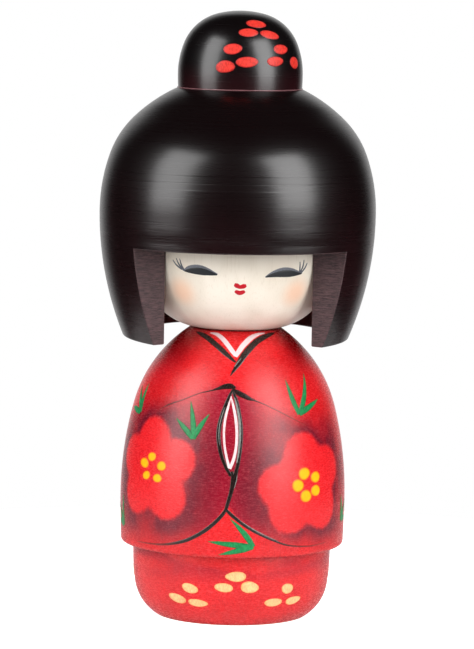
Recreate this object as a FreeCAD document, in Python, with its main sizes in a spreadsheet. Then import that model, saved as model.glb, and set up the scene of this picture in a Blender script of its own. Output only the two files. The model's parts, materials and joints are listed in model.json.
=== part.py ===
import FreeCAD, Part
import math
import os
import Sketcher

# A turned wooden kokeshi doll.  Millimetres, +Z up, origin in the middle of the face it stands on,
# the doll looks along -Y.  Every piece is turned about the Z axis.

DIMENSIONS = [
    # body block: skirt below, robe with a hem step above it, flat neck on top
    ("skirt_foot_radius", 18.8, "edge of the flat face the doll stands on"),
    ("skirt_mid_radius", 24.0, "skirt where its foot starts to round in"),
    ("skirt_mid_height", 7.8, ""),
    ("skirt_radius", 24.6, "skirt just below the hem"),
    ("skirt_straight_height", 15.8, "start of the straight band below the hem"),
    ("hem_height", 18.0, "underside of the robe's hem"),
    ("hem_radius", 27.7, "robe at its hem"),
    ("hem_round", 1.0, "rounding of the hem's lower edge"),
    ("robe_radius", 27.95, "robe at its widest"),
    ("robe_widest_height", 29.9, ""),
    ("shoulder_radius", 24.95, "robe where the shoulder starts"),
    ("shoulder_height", 52.65, ""),
    ("neck_radius", 11.3, "flat that the face turns on"),
    ("neck_height", 71.7, ""),
    # face block: a plain cylinder with a rounded chin, glued into the hair cap
    ("face_radius", 24.5, ""),
    ("face_seat_radius", 8.0, "flat under the chin"),
    ("chin_radius", 20.65, "joint of the two arcs of the chin"),
    ("chin_height", 78.3, ""),
    ("face_top", 108.0, "flat that meets the bottom of the cap's bore"),
    # hair cap: bored out from below, with a window sawn in front
    ("rim_height", 69.6, "lower rim of the hair, at the axis"),
    ("rim_slant", 2.4, "degrees that the rim drops towards the front"),
    ("turned_end_height", 68.0, "where the turning ended before the rim was sawn"),
    ("turned_end_radius", 27.3, ""),
    ("hair_radius", 34.2, "hair at its widest"),
    ("hair_widest_height", 100.4, ""),
    ("temple_radius", 31.75, "first joint of the arcs over the head"),
    ("temple_height", 114.6, ""),
    ("crown_radius", 26.1, "second joint of the arcs over the head"),
    ("crown_height", 123.45, ""),
    ("bun_seat_radius", 15.4, "flat that carries the bun"),
    ("bun_seat_height", 130.9, ""),
    ("glue_gap", 0.1, "between the face and the cap's bore"),
    ("fringe_height", 92.5, "lower edge of the fringe, top of the window"),
    ("window_apex", 5.93, "where the two saw cuts would meet, in front of the axis"),
    ("window_half_angle", 58.2, "degrees between the doll's front and a saw cut"),
    ("cap_turn", 2.0, "degrees that the cap is glued on round from dead ahead"),
    ("sanded_edge_round", 0.35, "edges of the rim and the window"),
    # bun
    ("bun_radius", 15.42, "bun at its widest"),
    ("bun_widest_height", 134.4, ""),
    ("bun_foot_radius", 15.3, ""),
    ("bun_side_radius", 14.0, "joint of the side and the shoulder of the dome"),
    ("bun_side_height", 141.95, ""),
    ("bun_dome_radius", 5.9, "joint of the shoulder and the top of the dome"),
    ("overall_height", 150.0, ""),
    ("bun_edge_round", 0.25, "rounding of the bun's lower edge"),
    # dowels
    ("dowel_radius", 4.0, "both dowels"),
    ("neck_dowel_bottom", 57.0, ""),
    ("neck_dowel_top", 81.0, ""),
    ("crown_dowel_bottom", 99.0, ""),
    ("crown_dowel_top", 139.0, ""),
    ("dowel_end_bevel", 0.6, ""),
    ("dowel_glue_gap", 0.05, "glued dowel to its socket, on the radius"),
    ("dowel_running_gap", 0.05, "turning dowel to its socket, on the radius"),
    ("socket_end_gap", 1.0, "air left beyond the end of a dowel"),
]

SHEET = "Dimensions."
VERTICAL_AXIS = -2
ORIGIN = (-1, 1)
START, END, CENTRE = 1, 2, 3
UPRIGHT = FreeCAD.Vector(0, 1, 0)

doc = FreeCAD.newDocument("kokeshi_doll")
sheet = doc.addObject("Spreadsheet::Sheet", "Dimensions")
for row, (alias, number, note) in enumerate(DIMENSIONS, start=1):
    sheet.set(f"A{row}", alias)
    sheet.set(f"B{row}", str(number))
    sheet.set(f"C{row}", note)
    sheet.setAlias(f"B{row}", alias)
doc.recompute()


def value(expression):
    """The number that an expression of the sheet's cells gives now."""
    return float(sheet.evalExpression(expression))


def new_body(label):
    body = doc.addObject("PartDesign::Body", label)
    body.Label = label
    return body


def new_sketch(body, name, plane_role, height=None):
    """An empty sketch on one of the body's own origin planes, raised by an expression if one is given."""
    sketch = body.newObject("Sketcher::SketchObject", name)
    plane = next(item for item in body.Origin.OriginFeatures if item.Role == plane_role)
    sketch.AttachmentSupport = [(plane, "")]
    sketch.MapMode = "FlatFace"
    if height:
        sketch.setExpression("AttachmentOffset.Base.z", height)
    return sketch


def bind(sketch, constraint, name, expression):
    """Adds a dimension to a sketch and ties it to the sheet."""
    index = sketch.addConstraint(constraint)
    sketch.renameConstraint(index, name)
    sketch.setExpression("Constraints." + name, expression)


def arc_from_tangent(first, tangent, last):
    """The arc that leaves `first` along `tangent` and ends at `last`, and its direction there."""
    chord = last - first
    turn = tangent.cross(chord).z
    radius = chord.dot(chord) / (2 * turn)
    centre = first + FreeCAD.Vector(-tangent.y, tangent.x, 0) * radius
    spoke = (last - centre) * (1 / radius)
    leaving = FreeCAD.Vector(-spoke.y, spoke.x, 0)
    from_point, to_point = (first, last) if radius > 0 else (last, first)
    from_angle = math.atan2(from_point.y - centre.y, from_point.x - centre.x)
    to_angle = math.atan2(to_point.y - centre.y, to_point.x - centre.x)
    circle = Part.Circle(centre, FreeCAD.Vector(0, 0, 1), abs(radius))
    ends = (START, END) if radius > 0 else (END, START)
    return Part.ArcOfCircle(circle, from_angle, to_angle), ends, leaving


def turned_sketch(body, name, start, steps):
    """Closed half section in the XZ plane, as a turner's template.

    A step is (kind, radius, height).  A line goes straight there and an arc curves there.
    "smooth arc" and "smooth line" leave in the direction in which the step before arrived.
    "bulge arc" arrives pointing straight up, so it ends at the widest point of a belly, and
    a plain "arc" takes the curve that the smooth steps after it ask for.
    A radius or a height is an expression, or a bare number where the curve decides it.
    """
    sketch = new_sketch(body, name, "XZ_Plane")
    points = []
    for radius, height in [start] + [step[1:] for step in steps]:
        across = value(radius) if isinstance(radius, str) else radius
        up = value(height) if isinstance(height, str) else height
        points.append(FreeCAD.Vector(across, up, 0))
    tangent = UPRIGHT
    joints = []
    for first, last, step in zip(points, points[1:], steps):
        if step[0].endswith("line"):
            geometry, ends = Part.LineSegment(first, last), (START, END)
            tangent = (last - first).normalize()
        elif step[0] in ("arc", "bulge arc"):
            tangent = UPRIGHT if step[0] == "bulge arc" else (last - first).normalize() + UPRIGHT
            tangent = FreeCAD.Vector(tangent).normalize()
            geometry, backward_ends, _ = arc_from_tangent(last, -tangent, first)
            ends = backward_ends[::-1]
        else:
            geometry, ends, tangent = arc_from_tangent(first, tangent, last)
        joints.append((sketch.addGeometry(geometry), ends))
    for index, (step, (curve, ends)) in enumerate(zip(steps, joints)):
        before, before_ends = joints[index - 1]
        joint = "Tangent" if step[0].startswith("smooth") else "Coincident"
        sketch.addConstraint(Sketcher.Constraint(joint, before, before_ends[1], curve, ends[0]))
        if step[0] == "bulge arc":
            sketch.addConstraint(Sketcher.Constraint("Horizontal", curve, CENTRE, curve, ends[1]))
        for axis, expression in (("DistanceX", step[1]), ("DistanceY", step[2])):
            if not isinstance(expression, str):
                continue
            if axis == "DistanceX" and expression == "0":
                sketch.addConstraint(Sketcher.Constraint("PointOnObject", curve, ends[1], VERTICAL_AXIS))
                continue
            place = value(expression)
            bind(sketch, Sketcher.Constraint(axis, *ORIGIN, curve, ends[1], place),
                 f"{'r' if axis == 'DistanceX' else 'z'}_{index}", expression)
    return sketch


def revolve(body, sketch, name):
    feature = body.newObject("PartDesign::Revolution", name)
    feature.Profile = sketch
    feature.ReferenceAxis = (sketch, ["V_Axis"])
    feature.Angle = 360
    return feature


def circle_sketch(body, name, radius, height):
    sketch = new_sketch(body, name, "XY_Plane", height)
    circle = sketch.addGeometry(Part.Circle(FreeCAD.Vector(), FreeCAD.Vector(0, 0, 1), value(radius)))
    sketch.addConstraint(Sketcher.Constraint("Coincident", circle, CENTRE, *ORIGIN))
    bind(sketch, Sketcher.Constraint("Radius", circle, value(radius)), "radius", radius)
    return sketch


def cut_down(body, sketch, name, depth, upward=False, both_ways=False):
    """Cuts the sketch into the piece by the given depth, and makes sure that it cut something."""
    doc.recompute()
    before = body.Shape.Volume
    pocket = body.newObject("PartDesign::Pocket", name)
    pocket.Profile = sketch
    pocket.Reversed = upward
    pocket.SideType = "Symmetric" if both_ways else "One side"
    pocket.setExpression("Length", depth)
    doc.recompute()
    if body.Shape.Volume > before - 1:
        raise RuntimeError(f"{name} cut nothing")
    return pocket


def drill(body, name, radius, mouth_height, depth, upward=False):
    sketch = circle_sketch(body, name + "_circle", radius, mouth_height)
    return cut_down(body, sketch, name, depth, upward)


def dress_edges(body, kind, name, property_name, size, belongs):
    """Fillets or chamfers every edge of the piece for which belongs(edge) holds."""
    doc.recompute()
    base = body.Tip
    names = [f"Edge{number}" for number, edge in enumerate(base.Shape.Edges, start=1)
             if not edge.Degenerated and belongs(edge)]
    feature = body.newObject(kind, name)
    feature.Base = (base, names)
    feature.setExpression(property_name, size)
    doc.recompute()
    return feature


def circle_at(radius, height):
    """A test for the round edge with the given radius at the given height."""
    def belongs(edge):
        curve = edge.Curve
        return (isinstance(curve, Part.Circle)
                and abs(curve.Radius - value(radius)) < 0.05
                and abs(curve.Center.z - value(height)) < 0.05)
    return belongs


def make_body():
    """One turned block: skirt, robe with its hem step, flat neck with the socket for the neck dowel."""
    body = new_body("body")
    outline = turned_sketch(body, "body_outline", ("0", "0"), [
        ("line", SHEET + "skirt_foot_radius", "0"),
        ("arc", SHEET + "skirt_mid_radius", SHEET + "skirt_mid_height"),
        ("smooth arc", SHEET + "skirt_radius", SHEET + "skirt_straight_height"),
        ("smooth line", SHEET + "skirt_radius", SHEET + "hem_height"),
        ("line", SHEET + "hem_radius", SHEET + "hem_height"),
        ("bulge arc", SHEET + "robe_radius", SHEET + "robe_widest_height"),
        ("smooth arc", SHEET + "shoulder_radius", SHEET + "shoulder_height"),
        ("smooth arc", SHEET + "neck_radius", SHEET + "neck_height"),
        ("line", "0", SHEET + "neck_height"),
        ("line", "0", "0"),
    ])
    revolve(body, outline, "body_turning")
    drill(body, "neck_socket", f"{SHEET}dowel_radius + {SHEET}dowel_running_gap", SHEET + "neck_height",
          f"{SHEET}neck_height - {SHEET}neck_dowel_bottom + {SHEET}socket_end_gap")
    dress_edges(body, "PartDesign::Fillet", "hem_rounding", "Radius", SHEET + "hem_round",
                circle_at(SHEET + "hem_radius", SHEET + "hem_height"))
    return body


def make_face():
    """Pale block with a rounded chin, socketed below for the neck dowel and above for the crown dowel."""
    body = new_body("face")
    outline = turned_sketch(body, "face_outline", ("0", SHEET + "neck_height"), [
        ("line", SHEET + "face_seat_radius", SHEET + "neck_height"),
        ("smooth arc", SHEET + "chin_radius", SHEET + "chin_height"),
        ("smooth arc", SHEET + "face_radius", 90.2),
        ("smooth line", SHEET + "face_radius", SHEET + "face_top"),
        ("line", "0", SHEET + "face_top"),
        ("line", "0", SHEET + "neck_height"),
    ])
    revolve(body, outline, "face_turning")
    glued_radius = f"{SHEET}dowel_radius + {SHEET}dowel_glue_gap"
    drill(body, "chin_socket", glued_radius, SHEET + "neck_height",
          f"{SHEET}neck_dowel_top - {SHEET}neck_height + {SHEET}socket_end_gap", upward=True)
    drill(body, "top_socket", glued_radius, SHEET + "face_top",
          f"{SHEET}face_top - {SHEET}crown_dowel_bottom + {SHEET}socket_end_gap")
    return body


def window_sketch(body):
    """The wedge between the two saw cuts, seen from above, at the height of the fringe."""
    sketch = new_sketch(body, "window_wedge", "XY_Plane", SHEET + "fringe_height")
    reach = value(f"{SHEET}hair_radius * 1.2")
    apex = FreeCAD.Vector(0, -value(SHEET + "window_apex"), 0)
    half_angle = math.radians(value(SHEET + "window_half_angle"))
    half_width = (reach + apex.y) * math.tan(half_angle)
    left = FreeCAD.Vector(-half_width, -reach, 0)
    right = FreeCAD.Vector(half_width, -reach, 0)
    left_cut = sketch.addGeometry(Part.LineSegment(apex, left))
    front = sketch.addGeometry(Part.LineSegment(left, right))
    right_cut = sketch.addGeometry(Part.LineSegment(right, apex))
    for first, second in ((left_cut, front), (front, right_cut), (right_cut, left_cut)):
        sketch.addConstraint(Sketcher.Constraint("Coincident", first, END, second, START))
    sketch.addConstraint(Sketcher.Constraint("PointOnObject", left_cut, START, VERTICAL_AXIS))
    sketch.addConstraint(Sketcher.Constraint("Symmetric", front, START, front, END, VERTICAL_AXIS))
    bind(sketch, Sketcher.Constraint("DistanceY", left_cut, START, *ORIGIN, -apex.y),
         "apex", SHEET + "window_apex")
    bind(sketch, Sketcher.Constraint("DistanceY", front, START, *ORIGIN, reach),
         "reach", f"{SHEET}hair_radius * 1.2")
    bind(sketch, Sketcher.Constraint("Angle", left_cut, START, right_cut, END, 2 * half_angle),
         "opening", f"{SHEET}window_half_angle * 2 deg")
    return sketch


def rim_sketch(body):
    """What is sawn off below the hair's slanting rim, seen from the side."""
    sketch = new_sketch(body, "rim_side_view", "YZ_Plane")
    reach = value(f"{SHEET}hair_radius * 1.2")
    slant = math.radians(value(SHEET + "rim_slant"))
    rim = value(SHEET + "rim_height")
    below = FreeCAD.Vector(0, rim - reach, 0)
    front = FreeCAD.Vector(-reach, rim - reach * math.tan(slant), 0)
    back = FreeCAD.Vector(reach, rim + reach * math.tan(slant), 0)
    rim_line = sketch.addGeometry(Part.LineSegment(front, back))
    back_line = sketch.addGeometry(Part.LineSegment(back, below))
    front_line = sketch.addGeometry(Part.LineSegment(below, front))
    for first, second in ((rim_line, back_line), (back_line, front_line), (front_line, rim_line)):
        sketch.addConstraint(Sketcher.Constraint("Coincident", first, END, second, START))
    sketch.addConstraint(Sketcher.Constraint("PointOnObject", back_line, END, VERTICAL_AXIS))
    bind(sketch, Sketcher.Constraint("DistanceX", rim_line, START, *ORIGIN, reach),
         "reach_front", f"{SHEET}hair_radius * 1.2")
    bind(sketch, Sketcher.Constraint("DistanceX", *ORIGIN, rim_line, END, reach),
         "reach_back", f"{SHEET}hair_radius * 1.2")
    bind(sketch, Sketcher.Constraint("DistanceY", *ORIGIN, back_line, END, below.y),
         "depth", f"{SHEET}rim_height - {SHEET}hair_radius * 1.2")
    bind(sketch, Sketcher.Constraint("DistanceY", *ORIGIN, rim_line, START, front.y),
         "front_height", f"{SHEET}rim_height - {SHEET}hair_radius * 1.2 * tan({SHEET}rim_slant * 1 deg)")
    bind(sketch, Sketcher.Constraint("DistanceY", *ORIGIN, rim_line, END, back.y),
         "back_height", f"{SHEET}rim_height + {SHEET}hair_radius * 1.2 * tan({SHEET}rim_slant * 1 deg)")
    return sketch


def on_window(edge):
    """Whether an outer edge of the window this is, and not one where two sawn faces meet inside."""
    middle = edge.valueAt((edge.FirstParameter + edge.LastParameter) / 2)
    fringe = value(SHEET + "fringe_height")
    distance_ahead = -middle.y - value(SHEET + "window_apex")
    cut_distance = abs(middle.x) / math.tan(math.radians(value(SHEET + "window_half_angle")))
    on_cut = abs(distance_ahead - cut_distance) < 0.02 and middle.z < fringe - 0.02
    on_fringe = abs(middle.z - fringe) < 0.02 and distance_ahead > cut_distance + 0.02
    return on_cut or on_fringe


def on_rim(edge):
    """Whether all of the edge lies in the slanting plane of the rim."""
    rim, rise = value(SHEET + "rim_height"), math.tan(math.radians(value(SHEET + "rim_slant")))
    points = [edge.valueAt(edge.FirstParameter + part * (edge.LastParameter - edge.FirstParameter))
              for part in (0.1, 0.5, 0.9)]
    return all(abs(point.z - rim - rise * point.y) < 0.001 for point in points)


def make_hair_cap():
    """Turned and bored dome of hair, with the window for the face sawn out of its front."""
    body = new_body("hair_cap")
    bore = f"{SHEET}face_radius + {SHEET}glue_gap"
    outline = turned_sketch(body, "hair_outline", (bore, SHEET + "turned_end_height"), [
        ("line", SHEET + "turned_end_radius", SHEET + "turned_end_height"),
        ("bulge arc", SHEET + "hair_radius", SHEET + "hair_widest_height"),
        ("smooth arc", SHEET + "temple_radius", SHEET + "temple_height"),
        ("smooth arc", SHEET + "crown_radius", SHEET + "crown_height"),
        ("smooth arc", SHEET + "bun_seat_radius", SHEET + "bun_seat_height"),
        ("line", "0", SHEET + "bun_seat_height"),
        ("line", "0", SHEET + "face_top"),
        ("line", bore, SHEET + "face_top"),
        ("line", bore, SHEET + "turned_end_height"),
    ])
    revolve(body, outline, "hair_turning")
    drill(body, "crown_hole", f"{SHEET}dowel_radius + {SHEET}dowel_glue_gap", SHEET + "bun_seat_height",
          f"{SHEET}bun_seat_height - {SHEET}face_top + {SHEET}socket_end_gap")
    cut_down(body, window_sketch(body), "window",
             f"{SHEET}fringe_height - {SHEET}turned_end_height + {SHEET}socket_end_gap")
    cut_down(body, rim_sketch(body), "rim", f"{SHEET}hair_radius * 3", both_ways=True)
    dress_edges(body, "PartDesign::Fillet", "sanding", "Radius", SHEET + "sanded_edge_round",
                lambda edge: on_window(edge) or on_rim(edge))
    body.setExpression("Placement.Rotation.Angle", f"{SHEET}cap_turn * 1 deg")
    return body


def make_bun():
    """Small dome on top, flat below, drilled for the crown dowel."""
    body = new_body("bun")
    outline = turned_sketch(body, "bun_outline", ("0", SHEET + "bun_seat_height"), [
        ("line", SHEET + "bun_foot_radius", SHEET + "bun_seat_height"),
        ("bulge arc", SHEET + "bun_radius", SHEET + "bun_widest_height"),
        ("smooth arc", SHEET + "bun_side_radius", SHEET + "bun_side_height"),
        ("smooth arc", SHEET + "bun_dome_radius", 149.1),
        ("smooth arc", "0", SHEET + "overall_height"),
        ("line", "0", SHEET + "bun_seat_height"),
    ])
    dome_top = 4
    outline.addConstraint(Sketcher.Constraint("PointOnObject", dome_top, CENTRE, VERTICAL_AXIS))
    revolve(body, outline, "bun_turning")
    drill(body, "bun_socket", f"{SHEET}dowel_radius + {SHEET}dowel_glue_gap", SHEET + "bun_seat_height",
          f"{SHEET}crown_dowel_top - {SHEET}bun_seat_height + {SHEET}socket_end_gap", upward=True)
    dress_edges(body, "PartDesign::Fillet", "bun_rounding", "Radius", SHEET + "bun_edge_round",
                circle_at(SHEET + "bun_foot_radius", SHEET + "bun_seat_height"))
    return body


def make_dowel(label, bottom, top):
    """A round beech pin with bevelled ends."""
    body = new_body(label)
    pad = body.newObject("PartDesign::Pad", label + "_rod")
    pad.Profile = circle_sketch(body, label + "_circle", SHEET + "dowel_radius", bottom)
    pad.setExpression("Length", f"{top} - {bottom}")
    dress_edges(body, "PartDesign::Chamfer", label + "_bevel", "Size", SHEET + "dowel_end_bevel",
                lambda edge: isinstance(edge.Curve, Part.Circle))
    return body


pieces = [
    make_body(),
    make_dowel("neck_dowel", SHEET + "neck_dowel_bottom", SHEET + "neck_dowel_top"),
    make_face(),
    make_hair_cap(),
    make_dowel("crown_dowel", SHEET + "crown_dowel_bottom", SHEET + "crown_dowel_top"),
    make_bun(),
]
doc.recompute()

for item in doc.Objects:
    if "Invalid" in item.State or "Error" in item.State:
        raise RuntimeError(f"{item.Name} failed: {item.State}")
    if item.TypeId == "Sketcher::SketchObject" and item.solve() != 0:
        raise RuntimeError(f"{item.Name} does not solve")
for piece in pieces:
    if piece.Shape.isNull() or not piece.Shape.isValid() or len(piece.Shape.Solids) != 1:
        raise RuntimeError(f"{piece.Label} is not one valid solid")

os.makedirs("parts", exist_ok=True)
for piece in pieces:
    piece.Shape.exportStep(f"parts/{piece.Label}.step")
    box = piece.Shape.optimalBoundingBox()
    print(f"{piece.Label}: {piece.Shape.Volume:.0f} mm3, z {box.ZMin:.2f} to {box.ZMax:.2f}, "
          f"width {box.XLength:.2f}")
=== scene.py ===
"""Looks for the turned doll: paint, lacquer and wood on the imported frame, with its stage, lights and camera."""

import json
import math

import bpy
import numpy as np
from mathutils import Matrix, Vector

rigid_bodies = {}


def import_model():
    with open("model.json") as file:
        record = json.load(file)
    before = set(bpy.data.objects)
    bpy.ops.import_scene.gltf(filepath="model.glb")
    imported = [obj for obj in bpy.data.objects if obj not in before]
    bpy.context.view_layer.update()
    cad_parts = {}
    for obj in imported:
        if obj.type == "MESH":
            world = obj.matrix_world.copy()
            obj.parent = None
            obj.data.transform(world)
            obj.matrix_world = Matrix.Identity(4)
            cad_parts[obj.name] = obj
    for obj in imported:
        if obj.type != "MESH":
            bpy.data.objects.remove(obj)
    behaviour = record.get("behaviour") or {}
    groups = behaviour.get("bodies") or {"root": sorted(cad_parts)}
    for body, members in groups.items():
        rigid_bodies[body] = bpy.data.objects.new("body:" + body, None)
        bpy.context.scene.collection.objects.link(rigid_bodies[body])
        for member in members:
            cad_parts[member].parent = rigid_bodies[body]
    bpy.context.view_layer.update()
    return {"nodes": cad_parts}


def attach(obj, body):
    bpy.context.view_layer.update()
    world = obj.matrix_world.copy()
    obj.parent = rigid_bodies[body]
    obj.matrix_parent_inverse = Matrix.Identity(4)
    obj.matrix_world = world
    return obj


MM = 0.001
CURVE_TOP = 100.0   # mm: the height that a curve node's 1 stands for

for leftover in list(bpy.data.objects):
    bpy.data.objects.remove(leftover)

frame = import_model()


# ---------------------------------------------------------------- shader nodes

def new_material(name):
    """An empty node material and its Principled shader."""
    material = bpy.data.materials.new(name)
    material.use_nodes = True
    tree = material.node_tree
    tree.nodes.clear()
    output = tree.nodes.new("ShaderNodeOutputMaterial")
    shader = tree.nodes.new("ShaderNodeBsdfPrincipled")
    tree.links.new(shader.outputs["BSDF"], output.inputs["Surface"])
    return material, tree, shader


def feed(tree, socket, value):
    """Links an output into a socket, or sets the socket's own value."""
    if isinstance(value, bpy.types.NodeSocket):
        tree.links.new(value, socket)
    elif value is not None:
        socket.default_value = value


def math_node(tree, operation, a, b=None, c=None, clamp=False):
    node = tree.nodes.new("ShaderNodeMath")
    node.operation, node.use_clamp = operation, clamp
    for socket, value in zip(node.inputs, (a, b, c)):
        feed(tree, socket, value)
    return node.outputs["Value"]


def vector_node(tree, operation, a, b=None):
    node = tree.nodes.new("ShaderNodeVectorMath")
    node.operation = operation
    feed(tree, node.inputs[0], a)
    feed(tree, node.inputs[1], b)
    return node.outputs["Value" if operation in ("DISTANCE", "DOT_PRODUCT") else "Vector"]


def ramp(tree, value, start, end, low=0.0, high=1.0):
    """A smooth step of a value from low at start to high at end."""
    node = tree.nodes.new("ShaderNodeMapRange")
    node.interpolation_type = "SMOOTHSTEP"
    for name, number in (("From Min", start), ("From Max", end), ("To Min", low), ("To Max", high)):
        node.inputs[name].default_value = number
    feed(tree, node.inputs["Value"], value)
    return node.outputs["Result"]


def blend_colours(tree, factor, a, b):
    node = tree.nodes.new("ShaderNodeMix")
    node.data_type = "RGBA"
    feed(tree, node.inputs["Factor"], factor)
    feed(tree, node.inputs["A"], a if isinstance(a, bpy.types.NodeSocket) else (*a, 1))
    feed(tree, node.inputs["B"], b if isinstance(b, bpy.types.NodeSocket) else (*b, 1))
    return node.outputs["Result"]


def coordinates(tree):
    """Object-space coordinates in millimetres, and their three parts."""
    source = tree.nodes.new("ShaderNodeTexCoord").outputs["Object"]
    place = vector_node(tree, "SCALE", source)
    place.node.inputs["Scale"].default_value = 1 / MM
    parts = tree.nodes.new("ShaderNodeSeparateXYZ")
    tree.links.new(place, parts.inputs[0])
    return place, parts.outputs["X"], parts.outputs["Y"], parts.outputs["Z"]


def noise(tree, place, stretch, scale=1.0, detail=3.0, roughness=0.55):
    """Noise in millimetre coordinates, each axis multiplied by its own stretch."""
    scaled = vector_node(tree, "MULTIPLY", place, stretch)
    node = tree.nodes.new("ShaderNodeTexNoise")
    tree.links.new(scaled, node.inputs["Vector"])
    node.inputs["Scale"].default_value = scale
    node.inputs["Detail"].default_value = detail
    node.inputs["Roughness"].default_value = roughness
    return node.outputs["Fac"]


def bump(tree, height, depth_mm, strength=1.0, under=None):
    node = tree.nodes.new("ShaderNodeBump")
    node.inputs["Strength"].default_value = strength
    node.inputs["Distance"].default_value = depth_mm * MM
    feed(tree, node.inputs["Height"], height)
    feed(tree, node.inputs["Normal"], under)
    return node.outputs["Normal"]


def product(tree, *factors):
    result = factors[0]
    for factor in factors[1:]:
        result = math_node(tree, "MULTIPLY", result, factor)
    return result


def from_axis(tree, x, y):
    """The length of (x, y): a distance from the doll's axis, or from another upright line."""
    return math_node(tree, "SQRT", math_node(tree, "ADD", product(tree, x, x), product(tree, y, y)))


def angle_from_front(tree, x, y):
    """Degrees round the axis, 0 at the front and positive towards +X."""
    turned = math_node(tree, "ARCTAN2", x, math_node(tree, "MULTIPLY", y, -1.0))
    return math_node(tree, "MULTIPLY", turned, 180 / math.pi)


def height_curve(tree, angle, points):
    """A height in mm that follows (degrees, mm) points round the axis."""
    node = tree.nodes.new("ShaderNodeFloatCurve")
    low, high = points[0][0], points[-1][0]
    scaled = math_node(tree, "DIVIDE", math_node(tree, "SUBTRACT", angle, low), high - low, clamp=True)
    tree.links.new(scaled, node.inputs["Value"])
    curve = node.mapping.curves[0]
    for number, (degrees, height) in enumerate(points):
        where = ((degrees - low) / (high - low), height / CURVE_TOP)
        if number < 2:
            curve.points[number].location = where
        else:
            curve.points.new(*where)
    node.mapping.update()
    return math_node(tree, "MULTIPLY", node.outputs["Value"], CURVE_TOP)


def new_object(name, data):
    obj = bpy.data.objects.new(name, data)
    bpy.context.scene.collection.objects.link(obj)
    return obj


# ---------------------------------------------------------------- turned surfaces

SOCKET_RADIUS = 4.3    # mm: anything nearer the axis belongs to a dowel's socket
SOCKET_FLOOR = 40.0    # mm


class TurnedSkin:
    """The outer skin of a turned CAD node between two heights, in mm: somewhere for paint to lie."""

    STEP = 0.03        # mm along the profile
    WINDOW = 25        # steps over which the slope is averaged

    def __init__(self, node, low, high):
        corners = np.array([v.co for v in frame["nodes"][node].data.vertices]) / MM
        rings = {}
        for x, y, z in corners:
            if low <= z <= high and math.hypot(x, y) > SOCKET_RADIUS:
                key = round(z, 3)
                rings[key] = max(rings.get(key, 0.0), math.hypot(x, y))
        heights = np.array(sorted(rings))
        radii = np.array([rings[h] for h in heights])
        lengths = np.r_[0, np.cumsum(np.hypot(np.diff(radii), np.diff(heights)))]
        along = np.arange(0, lengths[-1], self.STEP)
        self.radius = np.interp(along, lengths, radii)
        self.height = np.interp(along, lengths, heights)
        window, margin = np.ones(self.WINDOW) / self.WINDOW, self.WINDOW // 2
        slope_r = np.gradient(np.convolve(np.pad(self.radius, margin, "edge"), window, "valid"))
        slope_z = np.gradient(np.convolve(np.pad(self.height, margin, "edge"), window, "valid"))
        steep = np.hypot(slope_r, slope_z)
        self.out_r, self.out_z = slope_z / steep, -slope_r / steep

    def at(self, angle, height):
        """The point and the outward direction at an angle in degrees and a height."""
        k = int(np.argmin(abs(self.height - height)))
        a = math.radians(angle)
        side = np.array([math.sin(a), -math.cos(a)])
        point = np.array([*(side * self.radius[k]), self.height[k]])
        return point, np.array([*(side * self.out_r[k]), self.out_z[k]])

    def lay(self, points, lifts):
        """Drops loose points onto the skin and raises each one by its lift."""
        points = np.asarray(points, float)
        reach = np.hypot(points[:, 0], points[:, 1])
        gap = (self.radius[None] - reach[:, None]) ** 2 + (self.height[None] - points[:, 2:3]) ** 2
        k = gap.argmin(1)
        side = points[:, :2] / np.maximum(reach, 1e-6)[:, None]
        flat = side * (self.radius[k] + self.out_r[k] * lifts)[:, None]
        return np.c_[flat, self.height[k] + self.out_z[k] * lifts]


def smooth_path(values, count):
    """A Catmull-Rom curve through rows of values, sampled count times."""
    values = np.asarray(values, float)
    padded = np.vstack([2 * values[0] - values[1], values, 2 * values[-1] - values[-2]])
    spans = len(values) - 1
    rows = []
    for t in np.linspace(0, spans, count):
        i = min(int(t), spans - 1)
        u = t - i
        p0, p1, p2, p3 = padded[i:i + 4]
        rows.append(0.5 * (2 * p1 + (p2 - p0) * u + (2 * p0 - 5 * p1 + 4 * p2 - p3) * u * u
                           + (3 * p1 - p0 - 3 * p2 + p3) * u ** 3))
    return np.array(rows)


FILM = 0.06        # thickness of a brushed stroke of paint, mm
SUNK = 0.03        # how far a film's edge goes under the skin, mm
ACROSS = (-1.0, -0.86, -0.5, 0.0, 0.5, 0.86, 1.0)


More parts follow.
